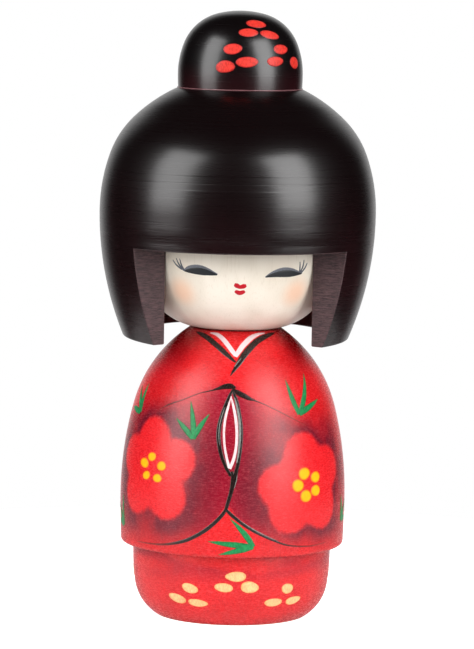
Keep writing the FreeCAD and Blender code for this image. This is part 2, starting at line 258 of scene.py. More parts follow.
class Brushwork:
    """Gathers strokes and dots of one paint into one mesh of thin raised films."""

    WOBBLE = 0.035     # how far a dot's outline strays from an oval
    SEGMENTS = 36      # round a dot
    DOMES = ((0.0, 1.0), (0.45, 0.96), (0.75, 0.86), (0.92, 0.62), (1.0, None))   # reach, share of the film

    def __init__(self, skin):
        self.skin, self.points, self.faces, self.rim, self.load = skin, [], [], [], []

    def _add(self, points, faces, rim, load):
        start = len(self.points)
        self.points.extend(points.tolist())
        self.faces.extend([[start + i for i in face] for face in faces])
        self.rim.extend(rim)
        self.load.extend(load)

    def stroke(self, rows, film=FILM, step=0.28):
        """A brush stroke through rows of (degrees, height mm, width mm[, paint load 0 to 1])."""
        rows = [tuple(row) + (1.0,) * (4 - len(row)) for row in rows]
        spots = [self.skin.at(a, h)[0] for a, h, _, _ in rows]
        length = sum(float(np.linalg.norm(b - a)) for a, b in zip(spots, spots[1:]))
        samples = smooth_path(rows, max(6, int(length / step)))
        lies = [self.skin.at(a, h) for a, h, _, _ in samples]
        line = np.array([point for point, _ in lies])
        ahead = np.gradient(line, axis=0)
        ahead /= np.linalg.norm(ahead, axis=1)[:, None]
        aside = np.cross([out for _, out in lies], ahead)
        points, lifts, rim, load = [], [], [], []
        for centre, side, (_, _, width, fill) in zip(line, aside, samples):
            width = max(width, 0.05)
            dome = min(film, 0.02 + 0.16 * width)
            for share in ACROSS:
                points.append(centre + side * share * width / 2)
                lifts.append(-SUNK if abs(share) == 1 else dome * (1 - 0.35 * share * share))
                rim.append(abs(share))
                load.append(fill)
        row = len(ACROSS)
        faces = [(k * row + j, k * row + j + 1, (k + 1) * row + j + 1, (k + 1) * row + j)
                 for k in range(len(line) - 1) for j in range(row - 1)]
        self._add(self.skin.lay(points, np.array(lifts)), faces, rim, load)

    def dot(self, angle, height, half_width, half_height, tilt=0.0, film=FILM, pointed=0.0):
        """A brushed oval; pointed pulls its left (negative) or right (positive) end out."""
        centre, out = self.skin.at(angle, height)
        a = math.radians(angle)
        east = np.array([math.cos(a), math.sin(a), 0.0])
        north = np.cross(out, east)
        segments = self.SEGMENTS
        points, lifts, rim, load = [centre], [film], [0.0], [1.0]
        lean = math.radians(tilt)
        for share, dome in self.DOMES[1:]:
            for k in range(segments):
                turn = 2 * math.pi * k / segments
                uneven = 1 + self.WOBBLE * (math.sin(2 * turn + angle) + 0.6 * math.sin(3 * turn + 2 * height))
                u = half_width * share * uneven * math.cos(turn)
                v = half_height * share * uneven * math.sin(turn)
                v *= 1 - pointed * u / half_width * 0.7
                east_by = u * math.cos(lean) - v * math.sin(lean)
                north_by = u * math.sin(lean) + v * math.cos(lean)
                points.append(centre + east * east_by + north * north_by)
                lifts.append(-SUNK if dome is None else film * dome)
                rim.append(share)
                load.append(1.0)
        faces = [(0, 1 + k, 1 + (k + 1) % segments) for k in range(segments)]
        for ring in range(len(self.DOMES) - 2):
            first = 1 + ring * segments
            for k in range(segments):
                after = (k + 1) % segments
                faces.append((first + k, first + segments + k, first + segments + after, first + after))
        self._add(self.skin.lay(points, np.array(lifts)), faces, rim, load)

    def finish(self, name, material, body):
        """Makes the mesh object, gives it its paint and lets it ride on its body."""
        mesh = bpy.data.meshes.new(name)
        mesh.from_pydata((np.array(self.points) * MM).tolist(), [], self.faces)
        mesh.validate()
        for title, values in (("rim", self.rim), ("load", self.load)):
            mesh.attributes.new(title, "FLOAT", "POINT").data.foreach_set("value", values)
        mesh.shade_smooth()
        mesh.materials.append(material)
        obj = new_object(name, mesh)
        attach(obj, body)


# ---------------------------------------------------------------- paints for the strokes

def brush_paint(name, middle, edge, thin, roughness=0.35, rim_from=0.7, streaks=0.12, specular=0.5):
    """Paint put on with a brush: its middle and edge colours, and what shows where it runs thin."""
    material, tree, shader = new_material(name)
    place, *_ = coordinates(tree)
    rim = tree.nodes.new("ShaderNodeAttribute")
    rim.attribute_name = "rim"
    load = tree.nodes.new("ShaderNodeAttribute")
    load.attribute_name = "load"
    grain = noise(tree, place, (1.0, 1.0, 0.45), scale=3.2, detail=4)
    colour = blend_colours(tree, ramp(tree, rim.outputs["Fac"], rim_from, 1.0), middle, edge)
    uneven = math_node(tree, "ADD", load.outputs["Fac"], math_node(tree, "MULTIPLY_ADD", grain, 0.9, -0.45))
    colour = blend_colours(tree, ramp(tree, uneven, 0.15, 0.85), thin, colour)
    shade = ramp(tree, grain, 0.3, 0.7, 1 - streaks, 1 + streaks)
    value = tree.nodes.new("ShaderNodeHueSaturation")
    tree.links.new(colour, value.inputs["Color"])
    tree.links.new(shade, value.inputs["Value"])
    tree.links.new(value.outputs["Color"], shader.inputs["Base Color"])
    tree.links.new(ramp(tree, grain, 0.3, 0.7, roughness * 0.85, roughness * 1.2), shader.inputs["Roughness"])
    shader.inputs["Specular IOR Level"].default_value = specular
    tree.links.new(bump(tree, grain, 0.02, 0.6), shader.inputs["Normal"])
    return material


# ---------------------------------------------------------------- robe

LEFT_BLOSSOM = ((-47.5, 38.3, 9.3), (-48.0, 45.6, 5.7), (-30.8, 41.2, 5.3), (-35.5, 32.1, 5.6),
                (-57.5, 32.2, 5.4), (-64.5, 41.0, 5.0))
RIGHT_BLOSSOM = ((41.0, 35.6, 9.5), (39.5, 42.8, 5.7), (56.0, 39.2, 5.5), (51.8, 29.7, 5.5),
                 (30.6, 29.6, 5.8), (23.6, 35.6, 5.2))
BACK_BLOSSOM = ((178.0, 40.0, 9.3), (179.0, 47.0, 5.6), (196.0, 42.5, 5.2), (188.5, 33.5, 5.5),
                (168.0, 33.6, 5.6), (160.5, 42.8, 5.2))
HEM_LINE = ((-180, 20.5), (-50, 20.0), (-31, 20.7), (-17.6, 23.4), (-7, 27.7), (-3, 30.0), (3, 27.4),
            (12, 24.6), (23, 21.9), (35, 20.6), (50, 20.1), (180, 20.5))
SLEEVE_LINE = ((-180, 56.0), (-70, 53.0), (-45, 53.5), (-30, 56.5), (-12, 58.9), (-2, 59.3), (6, 57.4),
               (15, 55.9), (30, 52.9), (42, 50.2), (70, 52.0), (180, 56.0))

BLOSSOM_BLEND = 2.6    # mm over which neighbouring petals run together
HEM = 18.0             # mm: step from the skirt to the robe

RED = (0.66, 0.008, 0.010)
PETAL_RED = (0.74, 0.012, 0.016)
CRIMSON = (0.28, 0.0, 0.014)
MAROON = (0.13, 0.004, 0.014)
PALE_FLECK = (0.66, 0.10, 0.12)
DEEP_FLECK = (0.14, 0.0, 0.010)
BARE_WOOD = (0.62, 0.42, 0.24)


def blossom_distance(tree, place, skin):
    """Distance in mm from the nearest blossom's soft outline, negative inside it."""
    nearest = None
    for blossom in (LEFT_BLOSSOM, RIGHT_BLOSSOM, BACK_BLOSSOM):
        shape = None
        for angle, height, radius in blossom:
            centre = tuple(skin.at(angle, height)[0])
            edge = math_node(tree, "SUBTRACT", vector_node(tree, "DISTANCE", place, centre), radius)
            shape = edge if shape is None else math_node(tree, "SMOOTH_MIN", shape, edge, BLOSSOM_BLEND)
        nearest = shape if nearest is None else math_node(tree, "MINIMUM", nearest, shape)
    return nearest


def spot(tree, place, skin, angle, height, inner, outer):
    """A soft round patch of airbrush on a skin, 1 in its middle."""
    centre = tuple(skin.at(angle, height)[0])
    return ramp(tree, vector_node(tree, "DISTANCE", place, centre), inner, outer, 1.0, 0.0)


def end_grain(tree, x, y):
    """Growth rings of bare wood across the grain, round a pith that lies off the axis."""
    off_x = math_node(tree, "ADD", x, 7.0)
    off_y = math_node(tree, "ADD", y, -4.0)
    wave = math_node(tree, "SINE", math_node(tree, "MULTIPLY", from_axis(tree, off_x, off_y), 3.1))
    return math_node(tree, "MULTIPLY_ADD", wave, 0.5, 0.5)


def kimono_material(robe):
    """Red stain with airbrushed sleeves and blossoms, painted shade under the hem's step and partly on the
    shoulders under the hair, and bare wood underneath and in the socket.
    """
    material, tree, shader = new_material("dyed_wood")
    place, x, y, z = coordinates(tree)
    angle = angle_from_front(tree, x, y)
    away = math_node(tree, "ABSOLUTE", math_node(tree, "ADD", angle, 1.5))

    cloudy = noise(tree, place, (0.16, 0.16, 0.10), detail=3)
    ragged = noise(tree, place, (0.9, 0.9, 0.6), detail=4)
    distance = blossom_distance(tree, place, robe)
    distance = math_node(tree, "ADD", distance, math_node(tree, "MULTIPLY_ADD", ragged, 0.9, -0.45))

    above_hem = math_node(tree, "SUBTRACT", z, height_curve(tree, angle, HEM_LINE))
    below_top = math_node(tree, "SUBTRACT", height_curve(tree, angle, SLEEVE_LINE), z)
    in_sleeve = product(tree, ramp(tree, above_hem, -0.4, 1.4), ramp(tree, below_top, -2.5, 2.0))
    on_robe = ramp(tree, z, HEM - 0.1, HEM + 0.6)

    crimson_and_shade = product(tree, in_sleeve, ramp(tree, away, 8.0, 30.0, 1.0, 0.0))
    # Darker crimson patches on both shoulders under the hair's rim: partly airbrush, partly painted shade of the
    # hair.
    shoulder_airbrush_and_shade = math_node(tree, "MAXIMUM", product(tree, spot(tree, place, robe, -64, 64, 2.0, 12.0), 0.3),
                          product(tree, spot(tree, place, robe, 62, 65.5, 1.0, 9.0), 0.10))
    crimson_and_shade = math_node(tree, "MAXIMUM", crimson_and_shade, shoulder_airbrush_and_shade)
    # Darker crimson in uneven patches, deepening just under the hem's step: painted shade under the robe's
    # overhang.
    banks = noise(tree, place, (0.05, 0.05, 0.16), detail=2)
    shade_under_hem = product(tree, ramp(tree, z, 9.5, 16.5), ramp(tree, z, HEM + 0.4, HEM),
                        ramp(tree, banks, 0.42, 0.62))
    crimson_and_shade = math_node(tree, "MAXIMUM", crimson_and_shade, math_node(tree, "MULTIPLY", shade_under_hem, 0.75))

    halo = ramp(tree, distance, -1.0, 13.0, 1.0, 0.0)
    halo = product(tree, halo, ramp(tree, above_hem, -2.5, 4.5), ramp(tree, below_top, -5.0, 3.0), on_robe)
    halo = product(tree, halo, ramp(tree, cloudy, 0.25, 0.62, 0.62, 1.15))
    petal = product(tree, ramp(tree, distance, -0.9, 0.7, 1.0, 0.0), on_robe)

    colour = blend_colours(tree, ramp(tree, cloudy, 0.3, 0.7), RED, tuple(c * 0.86 for c in RED))
    colour = blend_colours(tree, crimson_and_shade, colour, CRIMSON)
    colour = blend_colours(tree, halo, colour, MAROON)
    colour = blend_colours(tree, petal, colour, PETAL_RED)

    pores = noise(tree, place, (3.4, 3.4, 1.1), detail=3, roughness=0.75)
    weave = noise(tree, place, (1.0, 1.0, 3.6), detail=3, roughness=0.75)
    speck = product(tree, ramp(tree, pores, 0.40, 0.66), ramp(tree, weave, 0.40, 0.66))
    colour = blend_colours(tree, math_node(tree, "MULTIPLY", speck, 0.30), colour, PALE_FLECK)
    dark = product(tree, ramp(tree, pores, 0.58, 0.36), ramp(tree, weave, 0.58, 0.38))
    colour = blend_colours(tree, math_node(tree, "MULTIPLY", dark, 0.42), colour, DEEP_FLECK)

    foot = ramp(tree, z, 0.12, 0.06)
    socket = product(tree, ramp(tree, from_axis(tree, x, y), SOCKET_RADIUS, SOCKET_RADIUS - 0.1),
                     ramp(tree, z, SOCKET_FLOOR, SOCKET_FLOOR + 1))
    bare = math_node(tree, "MAXIMUM", foot, socket)
    rings = end_grain(tree, x, y)
    timber = blend_colours(tree, rings, BARE_WOOD, tuple(c * 0.72 for c in BARE_WOOD))
    colour = blend_colours(tree, bare, colour, timber)

    tree.links.new(colour, shader.inputs["Base Color"])
    rough = math_node(tree, "MULTIPLY_ADD", weave, 0.12, 0.21)
    tree.links.new(math_node(tree, "MAXIMUM", rough, math_node(tree, "MULTIPLY", bare, 0.7)),
                   shader.inputs["Roughness"])
    shader.inputs["Specular IOR Level"].default_value = 0.42
    grain = bump(tree, pores, 0.05, 0.9)
    tree.links.new(bump(tree, weave, 0.05, 0.9, grain), shader.inputs["Normal"])
    return material


def paint_robe_lines(robe):
    """Black brush lines: collar, tops of the sleeves, sleeve opening and the hem of the sleeves, with thin grey
    painted highlights along some of them.
    """
    black = brush_paint("black_brush", (0.010, 0.005, 0.004), (0.040, 0.012, 0.006), (0.26, 0.02, 0.015),
                        roughness=0.28, streaks=0.2)
    lines = Brushwork(robe)
    collar_left = ((-52, 71.1, 0.3), (-40, 70.7, 1.3), (-28, 69.9, 1.5), (-16, 68.4, 1.5), (-7, 66.7, 1.3),
                   (0.5, 65.0, 0.5))
    collar_right = ((53, 71.2, 0.3), (42, 70.9, 1.2), (30, 70.3, 1.6), (19, 69.2, 1.7), (9, 67.1, 1.7),
                    (3, 64.8, 1.4), (-0.5, 63.2, 0.8), (-2.8, 61.9, 0.2))
    sleeve_left = ((0.8, 59.2, 0.5), (-2.5, 59.5, 1.5), (-6, 59.4, 1.4), (-10, 58.9, 0.8),
                   (-14, 58.4, 0.35), (-22, 57.5, 0.25, 0.6), (-32, 55.7, 0.3, 0.5),
                   (-40, 54.4, 0.35, 0.6), (-47, 52.9, 0.15, 0.3))
    sleeve_right = ((-1.0, 58.9, 0.5), (2.0, 58.1, 1.3), (5.5, 57.4, 1.4), (9.0, 56.7, 1.0),
                    (12.5, 56.2, 0.35), (19, 55.1, 0.25, 0.6), (27, 53.4, 0.25, 0.5),
                    (35, 51.6, 0.25, 0.4), (43, 49.8, 0.15, 0.2))
    opening_left = ((-1.0, 58.9, 0.4), (-3.2, 56.8, 0.9), (-6.0, 53.6, 1.05), (-7.9, 50.0, 1.15),
                    (-7.8, 46.6, 1.1), (-6.1, 43.2, 1.0), (-3.6, 40.4, 0.85), (-1.0, 38.3, 0.8))
    opening_right = ((-1.2, 58.7, 0.4), (1.1, 56.4, 0.9), (2.9, 53.4, 0.9), (4.1, 49.8, 0.9),
                     (3.9, 46.0, 0.9), (2.9, 42.2, 0.9), (1.6, 39.2, 1.0), (0.6, 37.0, 1.1))
    stem = ((-0.6, 39.4, 0.6), (0.3, 37.4, 1.3), (-0.5, 34.8, 1.05), (-1.9, 32.3, 0.95), (-3.4, 29.8, 0.8))
    hem_left = ((-2.2, 31.0, 0.6), (-4.6, 29.0, 0.95), (-8.0, 27.1, 0.95), (-12.6, 25.1, 1.0),
                (-17.8, 23.4, 0.95, 0.95), (-24, 21.9, 0.9, 0.9), (-31, 20.9, 0.7, 0.7), (-38, 20.3, 0.5, 0.5),
                (-46, 20.05, 0.4, 0.35), (-56, 19.9, 0.2, 0.1))
    hem_right = ((-3.2, 30.3, 0.5), (-0.8, 29.0, 0.9), (4.0, 27.1, 0.8), (9.0, 25.4, 0.65), (15, 23.8, 0.55),
                 (22, 22.3, 0.45, 0.9), (29, 21.1, 0.4, 0.7), (37, 20.5, 0.35, 0.5), (46, 20.3, 0.3, 0.35),
                 (56, 20.6, 0.15, 0.1))
    for number, rows in enumerate((collar_left, collar_right, sleeve_left, sleeve_right, opening_left,
                                   opening_right, stem, hem_left, hem_right)):
        lines.stroke(rows, film=FILM + 0.004 * (number % 3))
    lines.finish("robe_black_lines", black, "torso")

    # Thin grey strokes along the black lines are painted highlights, standing in for the gloss on the raised black
    # paint.
    painted_sheen = brush_paint("painted_highlight_grey", (0.17, 0.18, 0.165), (0.06, 0.055, 0.05), (0.03, 0.02, 0.02), roughness=0.4,
                        streaks=0.3)
    painted_glints = Brushwork(robe)
    for rows in (((-2.6, 57.6, 0.15), (-5.7, 54.0, 0.3), (-7.7, 50.4, 0.32), (-7.7, 47.0, 0.3),
                  (-6.2, 43.6, 0.2)),
                 ((-0.2, 57.5, 0.2), (1.6, 54.9, 0.55), (3.1, 51.6, 0.7), (3.4, 48.2, 0.7), (2.9, 44.4, 0.55),
                  (1.9, 41.4, 0.3)),
                 ((2.3, 39.2, 0.1), (1.9, 37.4, 0.22), (0.9, 35.4, 0.1)),
                 ((1.0, 28.6, 0.1), (6.0, 26.8, 0.18), (12, 25.0, 0.2), (19, 23.3, 0.16), (24, 22.2, 0.08)),
                 ((7.5, 66.7, 0.15), (4.0, 65.6, 0.3), (0.8, 64.4, 0.3), (-1.2, 63.2, 0.12)),
                 ((-8.5, 26.4, 0.08), (-14.5, 24.1, 0.16), (-21, 22.2, 0.1))):
        painted_glints.stroke(rows, film=FILM + 0.025)
    painted_glints.finish("robe_painted_highlights", painted_sheen, "torso")


def paint_robe_white(robe):
    """The white under-collar and the white lining inside the sleeve opening."""
    white = brush_paint("white_brush", (0.70, 0.55, 0.56), (0.60, 0.26, 0.27), (0.62, 0.14, 0.14), roughness=0.5,
                        rim_from=0.75, streaks=0.06)
    trim = Brushwork(robe)
    trim.stroke(((-31, 71.2, 0.4, 0.6), (-22, 71.0, 1.1), (-14, 70.2, 1.3), (-7, 68.8, 1.3), (0.8, 66.5, 1.2)))
    trim.stroke(((37, 71.3, 0.3, 0.6), (27, 71.1, 1.0), (17, 70.4, 1.5), (8, 68.9, 1.5), (2.5, 67.2, 1.3),
                 (0.3, 66.2, 1.0)), film=FILM + 0.005)
    trim.stroke(((-2.0, 57.0, 0.25, 0.6), (-3.1, 55.2, 0.55, 0.7), (-4.7, 52.0, 0.65, 0.8), (-5.2, 48.6, 0.6, 0.7),
                 (-4.5, 45.2, 0.6, 0.75), (-3.2, 42.4, 0.65, 0.85), (-1.9, 40.3, 0.8)))
    trim.stroke(((-2.0, 57.2, 0.25, 0.6), (-0.6, 55.2, 0.6, 0.8), (1.0, 52.0, 0.75, 0.8), (1.7, 48.6, 0.7, 0.75),
                 (1.4, 45.2, 0.7, 0.8), (0.3, 42.4, 0.8, 0.9), (-1.6, 40.0, 0.8)), film=FILM + 0.005)
    trim.finish("robe_white_trim", white, "torso")


def paint_sprigs(robe):
    """Three-bladed green sprigs scattered between the blossoms."""
    green = brush_paint("green_brush", (0.006, 0.195, 0.055), (0.004, 0.10, 0.030), (0.16, 0.06, 0.03),
                        roughness=0.40, rim_from=0.5, streaks=0.35, specular=0.35)
    sprigs = Brushwork(robe)
    blades = (
        ((-65.5, 51.3), ((-66.5, 58.4), (-77.0, 57.2), (-80.0, 52.0))),
        ((-21.9, 46.8), ((-26.0, 55.6), (-13.8, 52.9), (-33.5, 51.3))),
        ((39.6, 52.6), ((35.0, 60.8), (53.5, 61.8), (58.5, 55.6))),
        ((11.0, 21.0), ((-0.8, 27.8), (-11.8, 22.1), (-6.5, 18.9))),
        ((-73.0, 22.8), ((-74.5, 30.4), (-85.0, 27.5), (-83.0, 24.0))),
        ((74.0, 25.0), ((73.5, 31.4), (85.0, 29.5), (84.0, 25.5))),
        ((128.0, 47.0), ((121.0, 54.5), (133.0, 55.5), (139.5, 50.5))),
        ((-136.0, 44.5), ((-143.0, 51.5), (-131.5, 53.0), (-126.0, 47.5))),
        ((146.0, 24.5), ((138.0, 29.5), (150.0, 31.5), (156.5, 26.8))),
        ((-150.0, 25.5), ((-158.0, 30.5), (-146.5, 32.0), (-140.5, 27.0))),
    )
    for number, (base, tips) in enumerate(blades):
        for blade, tip in enumerate(tips):
            bend = (1.6, -1.2, 0.8)[blade] * (1 if number % 2 else -1)
            reach = np.subtract(tip, base)
            near, far = np.add(base, reach * 0.35), np.add(base, reach * 0.7)
            rows = ((base[0], base[1], 1.2), (near[0] + bend * 0.5, near[1], 1.55),
                    (far[0] + bend * 0.4, far[1], 1.05, 0.95), (tip[0], tip[1], 0.15, 0.6))
            sprigs.stroke(rows, film=FILM + 0.006 * blade)
    sprigs.finish("green_sprigs", green, "torso")


def paint_stamens(robe):
    """Five yellow dots with orange edges in the heart of each blossom."""
    yellow = brush_paint("yellow_brush", (0.86, 0.42, 0.0), (0.72, 0.10, 0.004), (0.7, 0.15, 0.01),
                         roughness=0.45, rim_from=0.62, streaks=0.10, specular=0.3)
    dots = Brushwork(robe)
    for angle, height, wide, tall, tilt in (
            (-46.8, 41.4, 1.55, 1.15, 15), (-52.2, 39.6, 1.85, 1.25, -8), (-39.5, 39.5, 1.6, 1.2, 8),
            (-49.8, 36.7, 1.5, 1.15, 10), (-41.7, 36.4, 1.5, 1.15, 5), (39.2, 38.3, 1.85, 1.65, 10),
            (46.8, 37.2, 1.7, 1.5, 15), (35.0, 35.5, 1.85, 1.65, 12), (46.7, 33.9, 1.7, 1.5, 10),
            (40.0, 32.8, 1.85, 1.65, 0), (176.0, 43.2, 1.6, 1.4, 0), (183.0, 41.6, 1.5, 1.3, 10),
            (181.5, 37.6, 1.6, 1.4, 5), (174.0, 37.4, 1.5, 1.3, -10), (171.0, 41.2, 1.6, 1.4, 10)):
        dots.dot(angle, height, wide, tall, tilt, film=0.09)
    dots.finish("blossom_stamens", yellow, "torso")


def paint_skirt_petals(skirt):
    """Groups of three pale gold petals along the skirt."""
    gold = brush_paint("pale_gold_brush", (0.80, 0.44, 0.19), (0.74, 0.32, 0.10), (0.7, 0.2, 0.1),
                       roughness=0.42, rim_from=0.7, streaks=0.26)
    petals = Brushwork(skirt)
    middle = ((2.6, 13.1, 2.6, 1.3, 2, -0.35), (-4.2, 10.3, 2.3, 1.2, -4, -0.2), (11.0, 10.4, 2.4, 1.45, -6, 0.1))
    outer = ((-24.4, 9.6, 2.2, 1.25, -14, 0.0), (-33.5, 6.7, 2.7, 1.15, -12, -0.2),
             (-19.6, 6.0, 2.75, 1.0, -4, 0.3), (35.0, 9.6, 1.8, 1.3, 0, 0.0),
             (26.3, 6.3, 2.4, 1.15, 0, 0.0), (40.6, 6.4, 2.4, 1.1, 10, 0.3))
    for turn, group in ((0, middle + outer), (98, middle), (180, middle + outer), (-100, middle)):
        for angle, height, wide, tall, tilt, pointed in group:
            petals.dot(angle + turn, height, wide, tall, tilt, pointed=pointed, film=0.08)
    petals.finish("skirt_gold_petals", gold, "torso")


# ---------------------------------------------------------------- face

CREAM = (0.88, 0.81, 0.70)
BLUSH = (0.90, 0.50, 0.31)
DEEP_CREAM = (0.77, 0.69, 0.575)
FACE_GRAIN = (0.58, 0.49, 0.37)
CHEEKS = ((-35.5, 82.0), (39.5, 82.2))


def face_material(skin):
    """Pale wood with upright grain and two airbrushed cheeks."""
    material, tree, shader = new_material("cream_wood")
    place, *_ = coordinates(tree)
    cloudy = noise(tree, place, (0.10, 0.10, 0.03), detail=2)
    grain = noise(tree, place, (2.6, 2.6, 0.10), detail=3, roughness=0.6)
    fine = noise(tree, place, (7.0, 7.0, 0.9), detail=2)
    colour = blend_colours(tree, ramp(tree, cloudy, 0.3, 0.7), CREAM, DEEP_CREAM)
    colour = blend_colours(tree, ramp(tree, grain, 0.52, 0.78, 0.0, 0.30), colour, FACE_GRAIN)
    for angle, height in CHEEKS:
        blush = product(tree, spot(tree, place, skin, angle, height, 0.6, 5.4), 0.6)
        colour = blend_colours(tree, blush, colour, BLUSH)
    tree.links.new(colour, shader.inputs["Base Color"])
    tree.links.new(math_node(tree, "MULTIPLY_ADD", grain, 0.14, 0.34), shader.inputs["Roughness"])
    tree.links.new(bump(tree, fine, 0.012, 0.4, bump(tree, grain, 0.03, 0.4)), shader.inputs["Normal"])
    return material


def paint_face(skin):
    """Almond eyes with grey lids and lashes, and small red lips."""
    eye = brush_paint("eye_brush", (0.013, 0.015, 0.018), (0.04, 0.043, 0.05), (0.2, 0.2, 0.2), roughness=0.45,
                      rim_from=0.8)
    lid = brush_paint("lid_brush", (0.13, 0.14, 0.165), (0.26, 0.26, 0.27), (0.5, 0.46, 0.40), roughness=0.5)
    lash = brush_paint("lash_brush", (0.085, 0.095, 0.12), (0.17, 0.17, 0.18), (0.5, 0.46, 0.40), roughness=0.5)
    red = brush_paint("lip_brush", (0.50, 0.003, 0.014), (0.62, 0.025, 0.045), (0.8, 0.3, 0.28), roughness=0.4,
                      specular=0.3)

    lids = Brushwork(skin)
    lids.stroke(((-32.3, 87.35, 0.2), (-29.0, 88.0, 1.1), (-25.5, 88.15, 1.75), (-21.5, 88.05, 2.0),
                 (-17.5, 87.7, 1.65), (-14.0, 87.2, 1.1), (-11.0, 86.85, 0.35)), film=0.05, step=0.2)
    lids.stroke(((16.8, 86.35, 0.25), (20.0, 87.0, 1.0), (24.0, 87.55, 1.6), (28.5, 87.75, 2.0),
                 (33.0, 87.6, 1.8), (37.0, 87.35, 1.1), (41.0, 87.05, 0.25)), film=0.05, step=0.2)
    lids.finish("eyelids", lid, "head")

    eyes = Brushwork(skin)
    eyes.stroke(((-31.6, 87.25, 0.2), (-29.0, 87.4, 1.0), (-25.5, 87.5, 1.7), (-21.5, 87.45, 1.95),
                 (-17.5, 87.25, 1.6), (-14.0, 87.0, 1.0), (-11.2, 86.75, 0.3)), film=0.09, step=0.2)
    eyes.stroke(((17.0, 86.35, 0.25), (20.0, 86.7, 0.9), (24.0, 87.0, 1.5), (28.5, 87.15, 1.9),
                 (33.0, 87.1, 1.75), (37.0, 87.0, 1.05), (40.6, 86.95, 0.3)), film=0.09, step=0.2)
    eyes.finish("eyes", eye, "head")

    lashes = Brushwork(skin)
    for rows in (((-31.6, 87.5, 0.45), (-33.3, 88.7, 0.42), (-34.5, 90.2, 0.2)),
                 ((-32.0, 87.5, 0.45), (-35.0, 88.8, 0.42), (-37.0, 90.3, 0.2)),
                 ((-33.0, 87.6, 0.45), (-36.8, 88.6, 0.4), (-39.4, 89.8, 0.2)),
                 ((39.0, 87.4, 0.45), (39.0, 88.6, 0.4), (38.8, 89.9, 0.2)),
                 ((39.6, 87.3, 0.45), (41.2, 88.8, 0.42), (41.8, 90.3, 0.2)),
                 ((40.4, 87.2, 0.45), (42.8, 88.3, 0.4), (44.4, 89.5, 0.2))):
        lashes.stroke(rows, film=0.07, step=0.12)
    lashes.finish("lashes", lash, "head")

    lips = Brushwork(skin)
    lips.stroke(((-1.2, 84.5, 0.7), (0.1, 84.25, 1.25), (2.2, 83.85, 1.0), (4.4, 84.1, 1.25), (5.8, 84.3, 0.7)),
                step=0.1)
    lips.stroke(((-0.8, 82.85, 0.6), (0.4, 82.6, 1.1), (2.2, 82.35, 1.2), (4.0, 82.6, 1.1), (5.2, 82.85, 0.6)),
                step=0.1)
    lips.finish("lips", red, "head")


# ---------------------------------------------------------------- hair and bun

CAP_TURN = math.radians(2.0)
LOCK_APEX = 5.93           # mm behind the front of the wedge where the two sawn faces meet
LOCK_LEAN = math.radians(58.2)
FRINGE = 92.5              # mm
HAIR_TOP = 129.0           # mm: just under the seam with the bun
CHORD = 1.5                # mm either side, to read the slope of a faceted curve
BORE = 24.6                # mm: radius of the hollow for the face
HAIR_BLACK, HAIR_BROWN = (0.0024, 0.0006, 0.0008), (0.0125, 0.0022, 0.0032)
BUN_BLACK, BUN_BROWN = (0.0022, 0.0012, 0.0014), (0.020, 0.003, 0.0045)
BORE_RED = (0.050, 0.008, 0.009)
SAWN_DARK, SAWN_LIGHT, SAWN_FIBRE = (0.014, 0.004, 0.006), (0.082, 0.037, 0.041), (0.12, 0.070, 0.072)
HAIR_ROUGHNESS, BUN_ROUGHNESS = 0.28, 0.26
LACQUER_SPECULAR = 0.55


def sawn_mask(tree, x, y, z):
    """1 on the two sawn faces of the side locks and on the underside of the fringe."""
    across = math_node(tree, "ADD", math_node(tree, "MULTIPLY", x, math.cos(CAP_TURN)),
                       math_node(tree, "MULTIPLY", y, math.sin(CAP_TURN)))
    deep = math_node(tree, "SUBTRACT", math_node(tree, "MULTIPLY", y, math.cos(CAP_TURN)),
                     math_node(tree, "MULTIPLY", x, math.sin(CAP_TURN)))
    wedge = math_node(tree, "MULTIPLY_ADD", math_node(tree, "ABSOLUTE", across), 1 / math.tan(LOCK_LEAN), deep)
    gap = math_node(tree, "MULTIPLY", math_node(tree, "ADD", wedge, LOCK_APEX), math.sin(LOCK_LEAN))
    lock = product(tree, ramp(tree, math_node(tree, "ABSOLUTE", gap), 0.30, 0.10),
                   ramp(tree, z, FRINGE + 0.2, FRINGE))
    off_fringe = math_node(tree, "ABSOLUTE", math_node(tree, "SUBTRACT", z, FRINGE))
    under = product(tree, ramp(tree, off_fringe, 0.25, 0.1), ramp(tree, gap, 0.2, 0.0))
    return math_node(tree, "MAXIMUM", lock, under)


